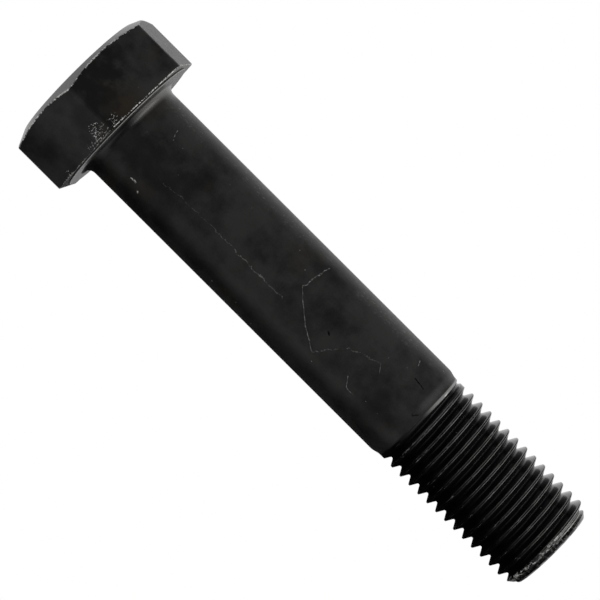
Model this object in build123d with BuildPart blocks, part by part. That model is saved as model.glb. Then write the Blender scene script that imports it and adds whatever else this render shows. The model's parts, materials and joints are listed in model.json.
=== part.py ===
"""Heavy hex structural bolt: forged hex head, plain shank and a rolled helical thread with its run-out.

The bolt is modelled on its own axis, with the bearing face of the head in the XY plane and the point
towards +Z. It is then laid down as it comes to rest, on one flat of the head and the thread's end.
"""

from build123d import *
from math import atan2, cos, degrees, floor, radians, sin, tan
import os

# Head, in millimetres and degrees
across_flats = 49.45
head_height = 20.1
corner_radius = 1.2            # forged rounding of the six upright edges
crown_diameter = 43.7          # flat top of the head, inside the chamfer
crown_chamfer_angle = 25       # slope of the chamfer from the flat top
washer_face_diameter = 46.8
washer_face_thickness = 0.55
underhead_fillet = 2.6

# Shank
length_under_head = 172.15
body_diameter = 32.1

# Shoulder, where the shank draws in to the rolled stretch
shoulder_to_end = 57.4         # from the start of the shoulder to the end of the bolt
shoulder_length = 3.3
shoulder_diameter = 30.9

# Thread
thread_diameter = 31.7         # over the crests
pitch = 25.4 / 7
flank_angle = 30               # each side of the groove
crest_flat = pitch / 8
root_flat = pitch / 6
flank_bow = 0.03               # the rolled flanks stand this much proud of straight at mid-depth
thread_length = 51.1           # full depth, from the end of the bolt
runout_turns = 1               # the groove fades out over these turns at the shoulder
crest_rise_length = 3.8        # the first crest grows to full height over this length
thread_turn = 113              # where the full groove starts, counted round from the upper flat

# Point
point_diameter = 26.7
point_length = 3.0

# Sizes that follow
body_radius = body_diameter / 2
shoulder_radius = shoulder_diameter / 2
crest_radius = thread_diameter / 2
point_radius = point_diameter / 2
flat_radius = across_flats / 2
corner_reach = flat_radius / cos(radians(30))
crown_radius = crown_diameter / 2
crown_drop = (corner_reach - crown_radius) * tan(radians(crown_chamfer_angle))
shoulder_start = length_under_head - shoulder_to_end
shoulder_end = shoulder_start + shoulder_length
thread_start = length_under_head - thread_length
runout_length = runout_turns * pitch
groove_half_width = (pitch - crest_flat) / 2
groove_depth = (groove_half_width - root_flat / 2) / tan(radians(flank_angle))
full_crest_end = length_under_head - point_length
first_low_crest = thread_start + pitch * ((180 - thread_turn) / 360 + 0.5)   # under the bolt
last_low_crest = first_low_crest + pitch * floor((full_crest_end - first_low_crest) / pitch)
rest_reach = last_low_crest + crest_flat / 2 + washer_face_thickness
rest_tilt = atan2(flat_radius - crest_radius, rest_reach)

os.makedirs("parts", exist_ok=True)

# Head: a hexagonal prism on a round washer face, trimmed by a turned outline to its chamfered crown
with BuildPart() as head:
    with BuildSketch(Plane.XY.offset(-head_height)):
        RegularPolygon(radius=flat_radius, side_count=6, major_radius=False, rotation=30)
    extrude(amount=head_height - washer_face_thickness)
    fillet(head.edges().filter_by(Axis.Z), radius=corner_radius)
    with BuildSketch(Plane.XZ):
        with BuildLine():
            Polyline(
                (0, -head_height),
                (crown_radius, -head_height),
                (corner_reach, crown_drop - head_height),
                (corner_reach, 0),
                (0, 0),
                close=True,
            )
        make_face()
    revolve(axis=Axis.Z, mode=Mode.INTERSECT)
    with BuildSketch(Plane.XY.offset(-washer_face_thickness)):
        Circle(washer_face_diameter / 2)
    extrude(amount=washer_face_thickness)

# Groove of the thread: one open V with a flat root, swept along a helix to past the end.
# Its section lies in the plane through the axis and opens a little past the crests.
overshoot = 0.1 * pitch
opening_half_width = groove_half_width + overshoot * tan(radians(flank_angle))
middle_half_width = (groove_half_width + root_flat / 2) / 2 - flank_bow
half_section = [
    (-groove_depth, root_flat / 2),
    (-groove_depth / 2, middle_half_width),
    (overshoot, opening_half_width),
]
mirrored_section = [(depth, -half_width) for depth, half_width in reversed(half_section)]


def sweep_groove(path):
    """Sweep the groove's section along a helix that starts at the section."""
    start = path @ 0
    outward = Vector(start.X, start.Y, 0).normalized()
    section_plane = Plane(origin=start, x_dir=outward, z_dir=outward.cross(Vector(0, 0, 1)))
    with BuildPart() as groove:
        with BuildSketch(section_plane):
            with BuildLine():
                Polyline(*half_section, *mirrored_section, close=True)
            make_face()
        sweep(path=path, is_frenet=True)
    return groove.part


with BuildLine() as full_helix:
    Helix(pitch=pitch, height=thread_length + pitch, radius=crest_radius, center=(0, 0, thread_start))

# The run-out climbs a cone back towards the head, so its turns are as far apart as the full thread's
runout_cone = degrees(atan2(groove_depth, runout_length))
with BuildLine() as runout_helix:
    Helix(
        pitch=pitch / cos(radians(runout_cone)),
        height=runout_length,
        radius=crest_radius,
        center=(0, 0, thread_start),
        direction=(0, 0, -1),
        cone_angle=runout_cone,
    )

full_groove = sweep_groove(full_helix.line)
runout_groove = sweep_groove(runout_helix.line)
full_turn = thread_turn - degrees(atan2((full_helix.line @ 0).Y, (full_helix.line @ 0).X))
runout_turn = thread_turn - degrees(atan2((runout_helix.line @ 0).Y, (runout_helix.line @ 0).X))

# Threaded end: a grooved rod that is longer than the bolt, trimmed by a turned outline to its
# first rising crest and its chamfered point
with BuildPart() as threaded_end:
    with BuildSketch(Plane.XY.offset(shoulder_end)):
        Circle(crest_radius)
    extrude(amount=length_under_head - shoulder_end + 2 * pitch)
    add(full_groove, rotation=(0, 0, full_turn), mode=Mode.SUBTRACT)
    with BuildSketch(Plane.XZ):
        with BuildLine():
            Polyline(
                (0, shoulder_end),
                (shoulder_radius, shoulder_end),
                (shoulder_radius, thread_start),
                (crest_radius, thread_start + crest_rise_length),
                (crest_radius, full_crest_end),
                (point_radius, length_under_head),
                (0, length_under_head),
                close=True,
            )
        make_face()
    revolve(axis=Axis.Z, mode=Mode.INTERSECT)

# Bolt: the shank is turned onto the head, filleted under it, and runs into the threaded end
with BuildPart() as upright_bolt:
    add(head.part)
    with BuildSketch(Plane.XZ):
        with BuildLine():
            Polyline((shoulder_radius, shoulder_end), (0, shoulder_end), (0, -head_height / 2),
                     (body_radius, -head_height / 2), (body_radius, shoulder_start))
            Spline((body_radius, shoulder_start), (shoulder_radius, shoulder_end),
                   tangents=[(0, 1), (0, 1)])
        make_face()
    revolve(axis=Axis.Z)
    bearing_faces = upright_bolt.faces().filter_by(Axis.Z).filter_by_position(Axis.Z, -0.01, 0.01)
    fillet(bearing_faces.edges().sort_by(SortBy.RADIUS)[0], radius=underhead_fillet)
    add(threaded_end.part)
    add(runout_groove, rotation=(0, 0, runout_turn), mode=Mode.SUBTRACT)

# The bolt at rest: its axis runs along +X and dips to the floor at the thread's end
rest_plane = Plane(
    origin=(0, 0, 0),
    x_dir=(sin(rest_tilt), 0, cos(rest_tilt)),
    z_dir=(cos(rest_tilt), 0, -sin(rest_tilt)),
)
with BuildPart() as hex_bolt:
    with Locations(rest_plane):
        add(upright_bolt.part)

hex_bolt.part.label = "hex_bolt"
export_step(hex_bolt.part, "parts/hex_bolt.step")
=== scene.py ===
import bpy
import json
from math import atan2, ceil, cos, degrees, pi, radians, sin, sqrt, tan
from mathutils import Matrix, Vector


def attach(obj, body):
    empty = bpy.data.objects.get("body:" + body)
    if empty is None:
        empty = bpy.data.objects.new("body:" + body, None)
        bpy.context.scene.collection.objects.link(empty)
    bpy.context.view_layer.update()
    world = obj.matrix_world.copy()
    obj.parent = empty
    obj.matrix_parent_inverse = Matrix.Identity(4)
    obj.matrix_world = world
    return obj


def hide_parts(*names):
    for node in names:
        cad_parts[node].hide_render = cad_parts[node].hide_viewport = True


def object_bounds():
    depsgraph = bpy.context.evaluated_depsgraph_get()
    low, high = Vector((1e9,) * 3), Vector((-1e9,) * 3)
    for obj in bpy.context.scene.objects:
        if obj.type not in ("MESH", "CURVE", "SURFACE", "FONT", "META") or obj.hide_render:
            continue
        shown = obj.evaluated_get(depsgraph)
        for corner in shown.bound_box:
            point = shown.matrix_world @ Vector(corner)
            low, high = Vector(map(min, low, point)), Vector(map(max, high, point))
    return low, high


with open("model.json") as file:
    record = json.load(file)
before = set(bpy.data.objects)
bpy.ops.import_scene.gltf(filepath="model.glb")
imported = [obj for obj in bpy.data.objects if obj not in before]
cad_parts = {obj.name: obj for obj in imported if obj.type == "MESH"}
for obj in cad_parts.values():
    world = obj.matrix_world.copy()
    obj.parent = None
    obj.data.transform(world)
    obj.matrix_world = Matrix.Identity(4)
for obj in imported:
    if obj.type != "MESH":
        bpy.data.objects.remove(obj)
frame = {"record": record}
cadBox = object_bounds()
mounts = {mount["name"]: mount for mount in frame["record"]["mounts"]}

mm = 0.001
boltAxis = Vector(mounts["bearing_face"]["axis"]).normalized()  # from the head to the point
acrossBolt = Vector((0, -1, 0))
upperFlat = acrossBolt.cross(boltAxis)  # the way that the upper flat of the head faces
toRest = Matrix((upperFlat, acrossBolt, boltAxis)).transposed().to_4x4()
print("frame loaded, the bolt dips", round(degrees(-boltAxis.z), 2), "degrees")


def deselectAll():
    if bpy.context.mode != "OBJECT":
        bpy.ops.object.mode_set(mode="OBJECT")
    bpy.ops.object.select_all(action="DESELECT")


def pickOnly(piece):
    deselectAll()
    piece.select_set(True)
    bpy.context.view_layer.objects.active = piece


def openEdit(piece, mode="VERT"):
    pickOnly(piece)
    bpy.ops.object.mode_set(mode="EDIT")
    bpy.ops.mesh.select_mode(type=mode)
    bpy.ops.mesh.select_all(action="DESELECT")


def closeEdit():
    bpy.ops.object.mode_set(mode="OBJECT")
    return bpy.context.object


def applyModifier(piece, kind, **settings):
    pickOnly(piece)
    modifier = piece.modifiers.new(kind.lower(), kind)
    for name, value in settings.items():
        setattr(modifier, name, value)
    bpy.ops.object.modifier_apply(modifier=modifier.name)


# The bolt is modelled standing on its axis, with the bearing face at z = 0, the point up and one flat
# towards +x, all in millimetres. It is scaled and laid down when it is finished.
bolt = {
    "acrossFlats": 49.45,
    "headHeight": 20.1,
    "crownDiameter": 43.7,
    "crownSlope": 25,
    "cornerRounding": 1.2,
    "edgeWear": 0.22,
    "washerDiameter": 46.8,
    "washerStep": 0.55,
    "rimRounding": [(0, -0.12), (-0.04, -0.03), (-0.14, 0)],  # of the washer face, as height and reach
    "fillet": 2.6,
    "bodyDiameter": 32.1,
    "length": 172.15,
    "shoulderStart": 114.75,
    "shoulderEnd": 118.05,
    "neckDiameter": 30.9,
    "threadStart": 121.05,
    "crestRise": 3.8,
    "crestDiameter": 31.7,
    "pitch": 25.4 / 7,
    "flankAngle": 30,
    "crestFlat": 25.4 / 7 / 8,
    "rootRadius": 0.5,
    "rolledSeam": [(0, 0.14), (0.05, 0.05), (0.1, 0.0), (0.18, 0.01), (0.25, 0.07)],  # across half a crest
    "threadTurn": 113,
    "pointDiameter": 26.7,
    "pointLength": 3.0,
    "turnSteps": 144,
    "coneSteps": 180,
    "shoulderSteps": 8,
    "shankSteps": 14,
    "filletStep": 15,           # degrees
}
flatReach = bolt["acrossFlats"] / 2
cornerReach = flatReach / cos(radians(30))
crownReach = bolt["crownDiameter"] / 2
washerReach = bolt["washerDiameter"] / 2
bodyReach = bolt["bodyDiameter"] / 2
neckReach = bolt["neckDiameter"] / 2
crestReach = bolt["crestDiameter"] / 2
pointReach = bolt["pointDiameter"] / 2
pitch = bolt["pitch"]
flankSlope = tan(radians(bolt["flankAngle"]))
grooveHalf = (pitch - bolt["crestFlat"]) / 2
grooveDepth = grooveHalf / flankSlope - bolt["rootRadius"]


# Head: a hexagon cut by a wide cone for the crown, with its upright corners rounded
def makeHead():
    height = bolt["headHeight"] - bolt["washerStep"]
    middle = -(bolt["headHeight"] + bolt["washerStep"]) / 2
    deselectAll()
    bpy.ops.mesh.primitive_cylinder_add(vertices=6, radius=cornerReach, depth=height, location=(0, 0, middle))
    head = bpy.context.object
    openEdit(head, "EDGE")
    bpy.ops.object.mode_set(mode="OBJECT")  # edges are picked by their run, outside edit mode
    for edge in head.data.edges:
        low, high = (head.data.vertices[index].co for index in edge.vertices)
        edge.select = abs(low.z - high.z) > 1
    bpy.ops.object.mode_set(mode="EDIT")
    bpy.ops.mesh.bevel(offset=bolt["cornerRounding"] * tan(radians(30)), segments=3)
    closeEdit()
    bpy.ops.object.transform_apply(location=True)

    coneHeight = bolt["headHeight"] + 1
    coneReach = crownReach + coneHeight / tan(radians(bolt["crownSlope"]))
    deselectAll()
    bpy.ops.mesh.primitive_cone_add(vertices=bolt["coneSteps"], radius1=crownReach, radius2=coneReach,
                                    depth=coneHeight, location=(0, 0, coneHeight / 2 - bolt["headHeight"]))
    cone = bpy.context.object
    applyModifier(head, "BOOLEAN", operation="INTERSECT", object=cone, solver="EXACT")
    bpy.data.objects.remove(cone)
    openEdit(head)
    bpy.ops.mesh.select_all(action="SELECT")
    bpy.ops.mesh.remove_doubles(threshold=0.12)  # slivers where the cone meets the rounded corners
    bpy.ops.mesh.dissolve_limited(angle_limit=radians(0.2))
    closeEdit()
    applyModifier(head, "BEVEL", width=bolt["edgeWear"], segments=2, limit_method="ANGLE",
                  angle_limit=radians(24))
    print("head", len(head.data.polygons), "faces")
    return head


# Thread: one turn's section is drawn by extruding a point, then wound up by Screw
def grooveOutline():
    root = bolt["rootRadius"]
    wallEnd = grooveDepth - root / 2
    outline = [(-pitch / 2 + across, depth) for across, depth in bolt["rolledSeam"]]
    for share in (0.15, 0.4, 0.7, 1.0):
        depth = share * wallEnd
        outline.append((-(grooveHalf - depth * flankSlope), depth))
    for turn in (40, 20, 0):
        outline.append((-root * sin(radians(turn)), grooveDepth - root * (1 - cos(radians(turn)))))
    mirrored = [(-z, depth) for z, depth in reversed(outline[:-1])]
    return outline + mirrored


# radius of the turned blank at a height along the axis
def turnedReach(z):
    rise = (z - bolt["threadStart"]) / bolt["crestRise"]
    taper = (bolt["length"] - z) / bolt["pointLength"]
    reach = neckReach + (crestReach - neckReach) * min(max(rise, 0), 1)
    return min(reach, pointReach + (crestReach - pointReach) * taper)


def makeThread():
    # the groove's middle crosses +x here
    base = bolt["threadStart"] - pitch * bolt["threadTurn"] / 360
    turns = ceil((bolt["length"] - base) / pitch) + 3
    deselectAll()
    bpy.ops.mesh.primitive_plane_add(size=0.01, location=(0, 0, 0))
    thread = bpy.context.object
    openEdit(thread)
    bpy.ops.mesh.select_all(action="SELECT")
    bpy.ops.mesh.merge(type="CENTER")
    outline = grooveOutline()
    place = Vector((0, 0, 0))
    for z, depth in outline:
        spot = Vector((crestReach - depth, 0, base - 2 * pitch + z))
        if place.length == 0:
            bpy.ops.transform.translate(value=spot)
        else:
            bpy.ops.mesh.extrude_region_move(TRANSFORM_OT_translate={"value": spot - place})
        place = spot
    closeEdit()
    applyModifier(thread, "SCREW", axis="Z", angle=2 * pi, screw_offset=pitch, iterations=turns,
                  steps=bolt["turnSteps"], render_steps=bolt["turnSteps"], use_merge_vertices=True,
                  merge_threshold=0.001)
    openEdit(thread)
    bpy.ops.mesh.select_all(action="SELECT")
    bpy.ops.mesh.remove_doubles(threshold=0.01)  # joins each turn to the next
    bpy.ops.mesh.bisect(plane_co=(0, 0, bolt["shoulderEnd"]), plane_no=(0, 0, 1), clear_inner=True)
    bpy.ops.mesh.select_all(action="SELECT")
    bpy.ops.mesh.bisect(plane_co=(0, 0, bolt["length"]), plane_no=(0, 0, 1), clear_outer=True, use_fill=True)
    bpy.ops.mesh.select_all(action="SELECT")
    bpy.ops.mesh.remove_doubles(threshold=0.03)
    closeEdit()

    # the groove rises out of the neck over its first turn, and the blank's outline trims the crests
    for vert in thread.data.vertices:
        x, y, z = vert.co
        reach = sqrt(x * x + y * y)
        around = atan2(y, x) / (2 * pi) % 1
        groove = round((z - base) / pitch - around)
        wound = groove + around - bolt["threadTurn"] / 360
        lift = grooveDepth * min(max(-wound, 0), 1)
        limit = turnedReach(z)
        wanted = min(reach + lift, limit)
        vert.co.x *= wanted / reach
        vert.co.y *= wanted / reach
    print("thread", len(thread.data.polygons), "faces")
    return thread


# Body: the thread's open end is drawn back along the shoulder and the shank to the washer face
def drawBody(thread):
    steps = [(bolt["shoulderEnd"], neckReach)]
    shoulderRun = bolt["shoulderEnd"] - bolt["shoulderStart"]
    for step in range(1, bolt["shoulderSteps"] + 1):
        share = step / bolt["shoulderSteps"]
        blend = share * share * (3 - 2 * share)
        steps.append((bolt["shoulderEnd"] - shoulderRun * share, neckReach + (bodyReach - neckReach) * blend))
    shankRun = bolt["shoulderStart"] - bolt["fillet"]
    for step in range(1, bolt["shankSteps"] + 1):
        steps.append((bolt["shoulderStart"] - shankRun * step / bolt["shankSteps"], bodyReach))
    for turn in range(bolt["filletStep"], 91, bolt["filletStep"]):
        rise = bolt["fillet"] * (1 - sin(radians(turn)))
        steps.append((rise, bodyReach + bolt["fillet"] * (1 - cos(radians(turn)))))
    steps += [(height, washerReach + short) for height, short in bolt["rimRounding"]]
    steps.append((-bolt["washerStep"] - 2, washerReach))  # ends inside the head
    openEdit(thread, "EDGE")
    bpy.ops.mesh.select_non_manifold(use_wire=False, use_multi_face=False, use_non_contiguous=False,
                                     use_verts=False)
    z, reach = steps[0]
    for nextZ, nextReach in steps[1:]:
        bpy.ops.mesh.extrude_region_move(TRANSFORM_OT_translate={"value": (0, 0, nextZ - z)})
        scale = nextReach / reach
        bpy.ops.transform.resize(value=(scale, scale, 1), center_override=(0, 0, nextZ))
        z, reach = nextZ, nextReach
    bpy.ops.mesh.edge_face_add()
    bpy.ops.mesh.select_all(action="SELECT")
    bpy.ops.mesh.normals_make_consistent(inside=False)
    closeEdit()
    print("body drawn,", len(thread.data.polygons), "faces")
    return thread


head = makeHead()
hexBolt = drawBody(makeThread())
applyModifier(hexBolt, "BOOLEAN", operation="UNION", object=head, solver="EXACT")
bpy.data.objects.remove(head)
hexBolt.name = "black_hex_bolt"
hexBolt.data.name = "black_hex_bolt"
hexBolt.data.transform(toRest @ Matrix.Scale(mm, 4))
pickOnly(hexBolt)
bpy.ops.object.shade_smooth_by_angle(angle=radians(28))
applyModifier(hexBolt, "WEIGHTED_NORMAL", keep_sharp=True, weight=80)
print("bolt joined,", len(hexBolt.data.polygons), "faces")


# Steel: dark oxide over forged and rolled metal, rubbed to bare steel where it has been knocked.
# Places are in millimetres on the standing bolt, and the way round it is measured from the upper flat.
steelLook = {
    "oxideDark": (0.003, 0.003, 0.0031),
    "oxidePale": (0.022, 0.0218, 0.0213),
    "brownTint": (0.0175, 0.0125, 0.0075),
    "bareSteel": (0.85, 0.84, 0.82),
    # the near black of the thread, also used as painted shade on the side that faces down
    "threadAndShadeDark": (0.002, 0.002, 0.0022),
    "nickDark": (0.002, 0.002, 0.002),
    "oxideRoughness": 0.46,
    "rolledRoughness": 0.17,    # the thread is smoother than the shank
    "dullRoughness": 0.95,      # on the side that faces down
    "bareRoughness": 0.42,
    "sheen": 0.42,              # specular level of the oxide
    "sheenTint": 0.35,          # and its tint, which holds back the glare of the turned-away side
}
steel = bpy.data.materials.new("blackOxideSteel")
steel.use_nodes = True
nodes = steel.node_tree.nodes
links = steel.node_tree.links
shader = nodes["Principled BSDF"]


def put(socket, value):
    if isinstance(value, bpy.types.NodeSocket):
        links.new(value, socket)
    elif value is not None:
        socket.default_value = value


def calc(operation, first, second=None, clamp=False):
    node = nodes.new("ShaderNodeMath")
    node.operation = operation
    node.use_clamp = clamp
    put(node.inputs[0], first)
    put(node.inputs[1], second)
    return node.outputs[0]


def vectorCalc(operation, first, second=None, scale=None):
    node = nodes.new("ShaderNodeVectorMath")
    node.operation = operation
    put(node.inputs[0], first)
    put(node.inputs[1], second)
    put(node.inputs[3], scale)  # its scale, which has no name unless the operation is SCALE
    return node.outputs["Value" if operation in ("LENGTH", "DOT_PRODUCT") else "Vector"]


def chain(operation, values):
    result = values[0]
    for value in values[1:]:
        result = calc(operation, result, value)
    return result


def times(*values):
    return chain("MULTIPLY", values)


def plus(*values):
    return chain("ADD", values)


def less(first, second):
    return calc("SUBTRACT", first, second)


def biggest(*values):
    return chain("MAXIMUM", values)


def absolute(value):
    return calc("ABSOLUTE", value)


def swing(cloudy, share):
    return times(less(cloudy, 0.5), share)


def distance(first, second):
    return vectorCalc("LENGTH", vectorCalc("SUBTRACT", first, second))


def fade(value, start, end, low=0.0, high=1.0):
    node = nodes.new("ShaderNodeMapRange")
    node.interpolation_type = "SMOOTHSTEP"
    put(node.inputs["Value"], value)
    for name, number in (("From Min", start), ("From Max", end), ("To Min", low), ("To Max", high)):
        put(node.inputs[name], number)
    return node.outputs[0]


# fades with the way round the bolt, in degrees
def sideFade(start, end, low=0.0, high=1.0):
    return fade(around, radians(start), radians(end), low, high)


# a soft band on both sides of a value
def band(value, middle, outer, inner):
    return fade(absolute(less(value, middle)), outer, inner)


def cloud(place, scale, detail, roughness, stretch=None):
    if stretch:
        place = vectorCalc("MULTIPLY", place, stretch)
    node = nodes.new("ShaderNodeTexNoise")
    put(node.inputs["Vector"], place)
    put(node.inputs["Scale"], scale)
    put(node.inputs["Detail"], detail)
    put(node.inputs["Roughness"], roughness)
    return node.outputs[0]


def joinPlace(*values):
    node = nodes.new("ShaderNodeCombineXYZ")
    for socket, value in zip(node.inputs, values):
        put(socket, value)
    return node.outputs[0]


def mixColor(share, first, second):
    node = nodes.new("ShaderNodeMix")
    node.data_type = "RGBA"
    put(node.inputs[0], share)
    for socket, value in ((node.inputs[6], first), (node.inputs[7], second)):
        put(socket, value if isinstance(value, bpy.types.NodeSocket) else (*value, 1))
    return node.outputs[2]


# the place on the standing bolt
coordinates = nodes.new("ShaderNodeTexCoord")
stand = nodes.new("ShaderNodeMapping")
stand.inputs["Rotation"].default_value = toRest.to_3x3().inverted().to_euler()
stand.inputs["Scale"].default_value = (1000, 1000, 1000)
links.new(coordinates.outputs["Object"], stand.inputs["Vector"])
place = stand.outputs[0]
split = nodes.new("ShaderNodeSeparateXYZ")
links.new(place, split.inputs[0])
px, py, pz = split.outputs
reach = calc("SQRT", plus(times(px, px), times(py, py)))
around = calc("ARCTAN2", py, px)
arc = times(around, bodyReach)
unrolled = joinPlace(pz, arc)

broad = cloud(place, 0.06, 3, 0.6)
patchy = cloud(place, 0.22, 4, 0.6)
grain = cloud(place, 2.2, 3, 0.6)
fine = cloud(place, 7.0, 2, 0.5)

# where things are
filletEdge = bodyReach + bolt["fillet"]
crownTop = plus(pz, bolt["headHeight"])
fromPoint = less(pz, bolt["length"] - bolt["pointLength"])
onHead = fade(pz, 0.3, -0.1)
onTop = fade(crownTop, 0.4, 0.1)
onWasher = times(fade(pz, -0.25, -0.05), fade(reach, filletEdge - 0.2, filletEdge + 0.4))
onShank = times(fade(pz, 1.5, 2.5), fade(pz, bolt["shoulderEnd"], bolt["shoulderStart"] + 2))
onThread = fade(pz, bolt["shoulderEnd"] - 0.5, bolt["shoulderEnd"] + 0.5)
onPoint = fade(fromPoint, 0.0, 0.5)
onEnd = times(fade(fromPoint, bolt["pointLength"] - 0.25, bolt["pointLength"] - 0.05),
              fade(reach, pointReach + 0.1, pointReach - 0.1))

# knocked edges of the head: at an edge two faces are near at once
headWear = {
    "width": 0.19,              # how soon the wear ends beside an edge
    "patchSize": 0.16, "patchShare": 1.6,
    "chipSize": 1.4, "chipShare": 2.6,
    "start": 2.35, "full": 2.6,
    "strength": 0.7,
    "spared": 0.6,              # on the washer side of the left flat
}
crownSlope = radians(bolt["crownSlope"])
flatGaps = []
for side in (0, 60, 120):
    across = vectorCalc("DOT_PRODUCT", place, (cos(radians(side)), sin(radians(side)), 0))
    flatGaps.append(less(flatReach, absolute(across)))
flatGap = chain("MINIMUM", flatGaps)
coneDrop = times(less(reach, crownReach), tan(crownSlope))
coneGap = times(less(crownTop, coneDrop), cos(crownSlope))
washerGap = plus(pz, bolt["washerStep"])
edges = -1.0
for gap in (flatGap, coneGap, washerGap):
    edges = plus(calc("EXPONENT", times(absolute(gap), -1 / headWear["width"])), edges)
raggedness = plus(times(cloud(place, headWear["patchSize"], 3, 0.6), headWear["patchShare"]),
                  times(cloud(place, headWear["chipSize"], 4, 0.75), headWear["chipShare"]))
edgeWear = times(fade(plus(edges, raggedness), headWear["start"], headWear["full"]),
                 fade(edges, 0.1, 0.3, 0.0, headWear["strength"]))
leftFlat = times(sideFade(29.5, 30.5), less(1.0, onTop))
hardlyWorn = times(leftFlat, fade(pz, -2.5, -1.0))
edgeWear = times(edgeWear, less(onHead, times(hardlyWorn, headWear["spared"])))
onCrown = times(fade(coneGap, 0.5, 0.15), onHead)

# the washer face is scraped by its turning, and brightest on its rim
washerLook = {"ringSize": 3.0, "ringStrength": 0.05, "rimStrength": 0.4}
turned = cloud(joinPlace(reach), washerLook["ringSize"], 2, 0.6)
washerRim = times(band(reach, washerReach, 0.3, 0.05), fade(pz, -0.3, -0.1))
washerWear = times(onWasher, fade(turned, 0.35, 0.65, 0.0, washerLook["ringStrength"]),
                   sideFade(100, 50, 0.3, 1.0))
washerWear = biggest(washerWear, times(washerRim, washerLook["rimStrength"]))

# speckled scuff by a lower corner, of hairs and chips, and rubbed specks all over
scuffLook = {
    "spots": [
        {"at": (21.0, 16.4, -2.7), "size": 4.4},
        {"at": (22.6, 14.4, -1.9), "size": 3.0},
        {"at": (24.7, 11.5, -1.2), "size": 3.4},
        {"at": (17.0, 18.9, -1.0), "size": 2.4},
        {"at": (5.6, 25.3, -1.3), "size": 1.9},
    ],
    "density": 0.08,
    "strength": 0.55,
    "speckStrength": 0.5,
}
scuffFade = 0.0
for spot in scuffLook["spots"]:
    away = distance(place, spot["at"])
    scuffFade = biggest(scuffFade, fade(away, spot["size"], spot["size"] * 0.2, 0.0, scuffLook["density"]))
hairs = times(fade(absolute(less(cloud(place, 0.75, 2, 0.7), 0.5)), 0.035, 0.015),
              fade(plus(cloud(place, 1.1, 3, 0.7), scuffFade), 0.6, 0.63))
chips = fade(plus(cloud(place, 1.7, 2, 0.6), scuffFade), 0.7, 0.72)
scuff = times(biggest(hairs, chips), fade(scuffFade, 0.0, 0.03))
specks = times(fade(cloud(place, 1.1, 1, 0.4), 0.79, 0.82), fade(patchy, 0.54, 0.64))

# the flat on the far side is brushed by handling, the fillet and the neck have painted highlights of bare
# steel on the side towards the key lamp, and the shank's far side is rubbed in patches
rubbingAndHighlights = {"brushed": 0.12, "fillet": 0.085, "neck": 0.32, "shank": 0.06, "neckMiddle": 0.45}
farFlat = times(sideFade(-29, -31), fade(flatGaps[2], 0.4, 0.1), onHead)
brushing = cloud(place, 1.0, 3, 0.6, stretch=(2.2, 2.2, 0.25))
brushed = times(farFlat, fade(brushing, 0.35, 0.7, 0.0, rubbingAndHighlights["brushed"]))
# painted highlight: bands of bare steel on the fillet and behind the shoulder, only on the side towards the
# key lamp
filletNeckHighlight = times(fade(pz, 2.8, 1.2), fade(pz, 0.05, 0.5), sideFade(24, 0, 0.0, rubbingAndHighlights["fillet"]))
neckHighlightBand = times(band(pz, bolt["shoulderEnd"] + rubbingAndHighlights["neckMiddle"], 0.6, 0.2),
                 sideFade(24, -6, 0.0, rubbingAndHighlights["neck"]))
filletNeckHighlight = biggest(filletNeckHighlight, neckHighlightBand)
rubbed = times(sideFade(-20, -38), sideFade(-80, -55), onShank)
rubbed = times(rubbed, fade(cloud(place, 0.9, 4, 0.75), 0.56, 0.62, 0.0, rubbingAndHighlights["shank"]),
               fade(broad, 0.42, 0.56))

# scratches and nicks on the shank, each a short straight run: height from the bearing face, then arc.
# A cloud sways them, and another one breaks the scratches up into dots.
scratches = [
    {"from": (19.3, 10.2), "to": (39.3, 9.5), "width": 0.11, "strength": 0.1},
    {"from": (39.3, 9.5), "to": (66.3, 9.7), "width": 0.13, "strength": 0.19},
    {"from": (69.9, -7.4), "to": (68.1, 3.5), "width": 0.15, "strength": 0.33},
    {"from": (68.1, 3.5), "to": (75.8, 10.2), "width": 0.12, "strength": 0.28},
    {"from": (75.8, 10.2), "to": (83, 15.1), "width": 0.14, "strength": 0.28},
    {"from": (83, 15.1), "to": (87.8, 9.0), "width": 0.1, "strength": 0.19},
    {"from": (89.3, 7), "to": (99, 2.9), "width": 0.1, "strength": 0.17},
    {"from": (99, 2.9), "to": (101.3, 6), "width": 0.1, "strength": 0.17},
    {"from": (95.2, 12.5), "to": (97, 15.2), "width": 0.13, "strength": 0.28},
    {"from": (97, 15.2), "to": (99.9, 15.6), "width": 0.13, "strength": 0.28},
    {"from": (11.4, 16.1), "to": (13.5, 16.4), "width": 0.35, "strength": 0.72},
    {"from": (15.9, 18.6), "to": (16.2, 19.0), "width": 0.4, "strength": 0.72},
    {"from": (11.8, -3.5), "to": (12.5, -1.0), "width": 0.12, "strength": 0.28},
    {"from": (32.8, -3.5), "to": (33, -3.3), "width": 0.2, "strength": 0.33},
    {"from": (65, -1), "to": (65.2, -0.8), "width": 0.22, "strength": 0.33},
    {"from": (106.8, -6.5), "to": (107.2, -5), "width": 0.2, "strength": 0.28},
    {"from": (113.5, -11.6), "to": (114.3, -11), "width": 0.25, "strength": 0.33},
]
nicks = [
    {"from": (82.3, 7.1), "to": (82.7, 7.4), "width": 0.55},
    {"from": (108.9, -1.2), "to": (112.5, -0.7), "width": 0.3},
    {"from": (115.7, 7.2), "to": (117.1, 5.8), "width": 0.25},
]
strokeLook = {"sway": (3.0, 4.0, 0), "swaySize": 0.22, "dotSize": 1.0, "faintest": 0.05, "strongest": 0.95}


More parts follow.
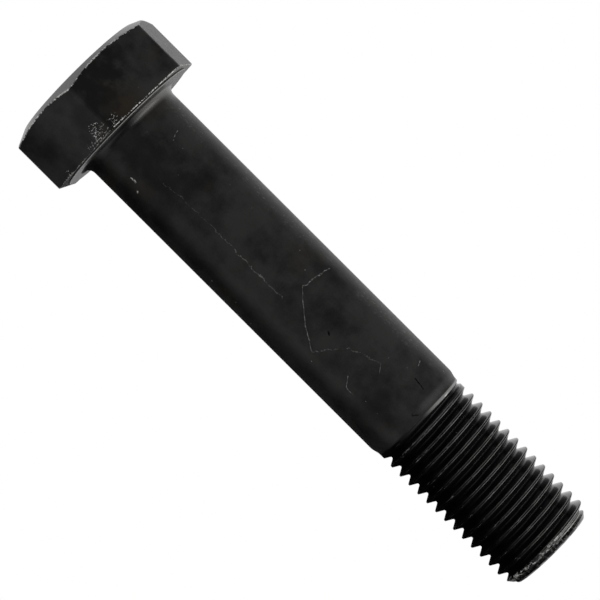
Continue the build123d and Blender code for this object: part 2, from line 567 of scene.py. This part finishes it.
def strokes(marks):
    sway = less(cloud(unrolled, strokeLook["swaySize"], 5, 0.75), 0.5)
    shaky = vectorCalc("ADD", unrolled, vectorCalc("SCALE", strokeLook["sway"], scale=sway))
    masks = []
    for mark in marks:
        start = Vector((*mark["from"], 0))
        run = Vector((*mark["to"], 0)) - start
        way = tuple(run.normalized())
        offset = vectorCalc("SUBTRACT", shaky, tuple(start))
        along = calc("MINIMUM", biggest(vectorCalc("DOT_PRODUCT", offset, way), 0), run.length)
        gap = distance(offset, vectorCalc("SCALE", way, scale=along))
        masks.append(fade(gap, mark["width"], mark["width"] * 0.2, 0.0, mark.get("strength", 1.0)))
    return biggest(*masks)


dots = fade(cloud(unrolled, strokeLook["dotSize"], 3, 0.8), 0.42, 0.6,
            strokeLook["faintest"], strokeLook["strongest"])
scratched = times(strokes(scratches), dots, onShank)
nicked = times(strokes(nicks), onShank)

# crests of the thread: painted highlights along the two edges of each crest, strong on the side towards the
# key lamp and almost gone on the side that faces down, a dark seam between them, and bright where they are
# rubbed
crestLook = {"edge": 0.3, "highlightLow": 0.12, "highlightHigh": 0.34, "wear": 0.5, "strength": 0.8}
turns = less(calc("DIVIDE", less(pz, bolt["threadStart"]), pitch),
             calc("DIVIDE", less(around, radians(bolt["threadTurn"])), 2 * pi))
fromCrest = times(less(calc("FRACT", turns), 0.5), pitch)
rolled = joinPlace(fromCrest, arc, times(pz, 0.1))
streaks = cloud(rolled, 1.0, 3, 0.6, stretch=(4, 0.25, 1))
crest = times(fade(reach, crestReach - 0.45, crestReach - 0.3), onThread)
seam = times(crest, fade(absolute(fromCrest), 0.2, 0.08), fade(streaks, 0.38, 0.55))
# painted highlight: bare steel along both crest edges, faded out towards the side that faces down
crestEdgeHighlight = times(crest, band(absolute(fromCrest), crestLook["edge"], 0.16, 0.06),
                    fade(streaks, 0.35, 0.65, crestLook["highlightLow"], crestLook["highlightHigh"]),
                    sideFade(62, -15, 0.03, 1.0))
crestWearAndHighlight = times(crest, sideFade(80, 50, 0.1, crestLook["wear"]),
                  fade(cloud(rolled, 1.0, 3, 0.7, stretch=(6, 0.2, 2)), 0.6, 0.68))
crestWearAndHighlight = biggest(crestWearAndHighlight, crestEdgeHighlight)

# the point, rough from the shears, with turned arcs on its upper side; its end face is plainer
pointLook = {
    "rubbed": 0.16,
    "chipMiddle": 0.5, "chips": 0.5,
    "arcs": (0.55, 1.25), "arcStrength": 0.35,
    "ringMiddle": 1.9,
    "rimStrength": 0.45,
    "endShare": 0.15,
}
pointRubbed = times(onPoint, fade(cloud(place, 0.9, 4, 0.7), 0.5, 0.66), pointLook["rubbed"])
chipped = times(band(fromPoint, pointLook["chipMiddle"], 0.9, 0.4),
                fade(cloud(place, 0.7, 4, 0.75), 0.53, 0.56), sideFade(-10, 15, 0.1, pointLook["chips"]))
upperArcs = biggest(*[band(fromPoint, middle, 0.2, 0.06) for middle in pointLook["arcs"]])
upperArcs = times(upperArcs, onPoint, sideFade(20, 0, 0.0, pointLook["arcStrength"]))
rim = times(fade(fromPoint, bolt["pointLength"] - 0.5, bolt["pointLength"] - 0.1),
            fade(cloud(place, 0.4, 3, 0.7), 0.44, 0.56, 0.1, pointLook["rimStrength"]),
            fade(reach, pointReach - 0.5, pointReach - 0.1), onPoint)
cutRing = times(band(fromPoint, pointLook["ringMiddle"], 0.5, 0.2), sideFade(50, 10, 0.3, 1.0))
pointWear = times(biggest(pointRubbed, chipped, upperArcs, rim),
                  fade(onEnd, 0.0, 1.0, 1.0, pointLook["endShare"]))

bare = biggest(edgeWear, washerWear, times(scuff, scuffLook["strength"]),
               times(specks, scuffLook["speckStrength"]), scratched, times(crestWearAndHighlight, crestLook["strength"]),
               pointWear, brushed, filletNeckHighlight, rubbed)

# the side that faces down is dull and rough, and has painted shade: near black on the thread, a little darker
# on the rest
shadedSideLook = {"middle": 112, "onHead": 0.45, "paintedShade": 0.15, "threadPaintedShade": 0.85,
            "metal": 0.75, "threadMetal": 0.2}
facingDown = calc("COSINE", less(around, radians(shadedSideLook["middle"])))
dullShadedSide = fade(plus(facingDown, swing(patchy, 0.06)), 0.5, 0.885)
threadShadedSide = fade(plus(facingDown, swing(streaks, 0.6)), 0.02, 0.73)
dullShadedSide = biggest(dullShadedSide, times(threadShadedSide, onThread))
keptFromShade = biggest(onWasher, onCrown, onTop, onEnd, times(onHead, shadedSideLook["onHead"]))
dullShadedSide = times(dullShadedSide, less(1.0, keptFromShade))

# oxide: cloudy, darker near the head, with a dark spot on the upper flat and a brown breath here and there,
# darkest between the threads; painted light on the left flat and painted shade on the side that faces down
oxideLook = {
    "level": 0.427, "broadShare": 0.45, "patchShare": 0.2, "grainShare": 0.08,
    "darkerNearHead": 0.07,
    "sootSpot": (24.7, 5.5, -14.5), "sootSpotSize": 10,
    "leftFlatLight": 0.06,
    "brownShare": 0.3,
    "rustSpot": (24.7, 6.0, -3.2), "rustSpotSize": 9,
}
tone = plus(swing(broad, oxideLook["broadShare"]), times(patchy, oxideLook["patchShare"]), oxideLook["level"])
# darker near the head, from the upper flat round to the side that faces down
tone = less(tone, times(fade(pz, 50, 8), sideFade(-15, 20), oxideLook["darkerNearHead"]))
tone = plus(tone, swing(grain, oxideLook["grainShare"]))
sootSpot = fade(distance(place, oxideLook["sootSpot"]), oxideLook["sootSpotSize"], 2)
tone = less(tone, times(sootSpot, fade(patchy, 0.35, 0.6, 0.14, 0.04)))
# painted light: the left flat of the head is made paler, as if more light fell on it
tone = plus(tone, times(leftFlat, onHead, oxideLook["leftFlatLight"]))
oxide = mixColor(fade(tone, 0.4, 0.6), steelLook["oxideDark"], steelLook["oxidePale"])
brown = times(fade(cloud(place, 0.09, 2, 0.5), 0.56, 0.72), oxideLook["brownShare"])
rust = times(fade(distance(place, oxideLook["rustSpot"]), oxideLook["rustSpotSize"], 1),
             fade(patchy, 0.4, 0.6, 0.3, 0.8))
oxide = mixColor(biggest(brown, rust), oxide, steelLook["brownTint"])
deep = biggest(times(onThread, fade(reach, crestReach, crestReach - 0.6)), seam, cutRing)
# painted shade: the side that faces down is mixed towards near black, most of all on the thread
paintedSideShade = times(dullShadedSide, plus(shadedSideLook["paintedShade"], times(onThread, shadedSideLook["threadPaintedShade"])))
oxide = mixColor(biggest(times(deep, 0.9), paintedSideShade), oxide, steelLook["threadAndShadeDark"])
oxide = mixColor(nicked, oxide, steelLook["nickDark"])
put(shader.inputs["Base Color"], mixColor(bare, oxide, steelLook["bareSteel"]))
# painted shade: the side that faces down is made metal, so that its dark colour scatters no light
shadedSideMetal = times(dullShadedSide, plus(shadedSideLook["metal"], times(onThread, shadedSideLook["threadMetal"])))
put(shader.inputs["Metallic"], biggest(times(bare, 0.9), shadedSideMetal, nicked))

# the thread, the crown and the fillet are smoother than the shank, and the side that faces down is dull
smooth = plus(steelLook["oxideRoughness"], swing(patchy, 0.08), swing(cloud(place, 0.6, 3, 0.6), 0.08))
onFillet = times(fade(pz, 6, 2), fade(pz, 0.1, 0.6))
rolledPart = biggest(onThread, times(onCrown, 0.6), times(onFillet, 0.6))
smooth = less(smooth, times(rolledPart, steelLook["oxideRoughness"] - steelLook["rolledRoughness"]))
oxideRough = plus(smooth, times(dullShadedSide, less(steelLook["dullRoughness"], smooth)))
bareShare = calc("MULTIPLY", bare, 1.0, clamp=True)
put(shader.inputs["Roughness"], plus(times(oxideRough, less(1.0, bareShare)),
                                     times(bareShare, steelLook["bareRoughness"])))
shader.inputs["Specular IOR Level"].default_value = steelLook["sheen"]
shader.inputs["Specular Tint"].default_value = (*[steelLook["sheenTint"]] * 3, 1)

# relief in millimetres: fine forged skin, the rough point, scratches cut in; the thread is smoother
skin = {"grain": 0.009, "fine": 0.003, "dull": 0.12, "patch": 0.03, "cut": 0.02, "point": 0.12, "end": 0.02,
        "threadSmooth": 0.85}
height = plus(times(grain, skin["grain"]), times(fine, skin["fine"]), times(dullShadedSide, fine, skin["dull"]),
              times(patchy, skin["patch"]))
height = less(height, times(biggest(scratched, nicked), skin["cut"]))
height = plus(height, times(onPoint, cloud(place, 1.2, 3, 0.6),
                            fade(onEnd, 0.0, 1.0, skin["point"], skin["end"])))
height = times(height, less(1.0, times(less(onThread, onPoint), skin["threadSmooth"])))
relief = nodes.new("ShaderNodeBump")
relief.inputs["Strength"].default_value = 1.0
relief.inputs["Distance"].default_value = mm
put(relief.inputs["Height"], height)
put(shader.inputs["Normal"], relief.outputs[0])
print("steel mixed,", len(nodes), "nodes")
hexBolt.data.materials.clear()
hexBolt.data.materials.append(steel)

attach(hexBolt, "root")
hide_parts("hex_bolt")

# Floor: white to the camera and in reflections, and a plain pale floor to the light
floorLook = {"size": 6, "color": (0.8, 0.8, 0.8, 1), "roughness": 0.9}
deselectAll()
bpy.ops.mesh.primitive_plane_add(size=floorLook["size"], location=(0, 0, cadBox[0][2]))
floor = bpy.context.object
floor.name = "floor"
floorMaterial = bpy.data.materials.new("paleFloor")
floorMaterial.use_nodes = True
nodes = floorMaterial.node_tree.nodes
links = floorMaterial.node_tree.links
plain = nodes["Principled BSDF"]
plain.inputs["Base Color"].default_value = floorLook["color"]
plain.inputs["Roughness"].default_value = floorLook["roughness"]
whiteGlow = nodes.new("ShaderNodeEmission")
rays = nodes.new("ShaderNodeLightPath")
mixed = nodes.new("ShaderNodeMixShader")
seen = biggest(*[rays.outputs[kind] for kind in ("Is Camera Ray", "Is Glossy Ray", "Is Transmission Ray")])
links.new(seen, mixed.inputs[0])
links.new(plain.outputs[0], mixed.inputs[1])
links.new(whiteGlow.outputs[0], mixed.inputs[2])
links.new(mixed.outputs[0], nodes["Material Output"].inputs["Surface"])
floor.data.materials.append(floorMaterial)

# World
world = bpy.data.worlds.new("studio")
bpy.context.scene.world = world
world.use_nodes = True
background = world.node_tree.nodes["Background"]
background.inputs["Color"].default_value = (0.5, 0.5, 0.5, 1)
background.inputs["Strength"].default_value = 0.6

# Camera: looks square at a place on the axis, with the flat turned a little away from it
view = {"station": 0.0850, "distance": 0.900, "lens": 187.4, "flatTurn": 22.6, "slant": 44.93,
        "sideways": -0.0106, "upwards": 0.01025}
turn = radians(view["flatTurn"])
slant = radians(view["slant"])
towards = cos(turn) * upperFlat + sin(turn) * acrossBolt
aside = sin(turn) * upperFlat - cos(turn) * acrossBolt
cameraRight = cos(slant) * boltAxis + sin(slant) * aside
cameraUp = cos(slant) * aside - sin(slant) * boltAxis
cameraPlace = (view["station"] * boltAxis + view["distance"] * towards
               + view["sideways"] * cameraRight + view["upwards"] * cameraUp)
deselectAll()
bpy.ops.object.camera_add(location=cameraPlace)
camera = bpy.context.object
cameraTurn = Matrix((cameraRight, cameraUp, towards)).transposed().to_4x4()
camera.matrix_world = Matrix.Translation(cameraPlace) @ cameraTurn
camera.data.lens = view["lens"]
camera.data.clip_end = 10
bpy.context.scene.camera = camera

# Lamps: the key stands low beyond the point, on the side that the upper flat turns to, so that it
# catches the fillet, the shoulder and the crests; a weak wide one fills from above
lamps = {
    "key": {"along": 0.65, "turn": -35, "distance": 1.2, "width": 0.5, "height": 1.6, "power": 11},
    "fill": {"along": 0.0, "turn": 40, "distance": 1.3, "width": 1.2, "height": 1.2, "power": 2.5},
}
middle = mm * bolt["length"] / 2 * boltAxis
for name, lamp in lamps.items():
    turn = radians(lamp["turn"])
    level = sqrt(1 - lamp["along"] ** 2)
    way = lamp["along"] * boltAxis + level * (cos(turn) * upperFlat + sin(turn) * acrossBolt)
    roundWay = way.cross(boltAxis).normalized()
    deselectAll()
    bpy.ops.object.light_add(type="AREA", location=middle + lamp["distance"] * way)
    light = bpy.context.object
    light.name = name
    light.data.shape = "RECTANGLE"
    light.data.size = lamp["width"]
    light.data.size_y = lamp["height"]
    light.data.energy = lamp["power"]
    light.rotation_euler = Matrix((roundWay.cross(way), roundWay, way)).transposed().to_euler()
print("stage lit")

bpy.context.scene.view_settings.view_transform = "Standard"
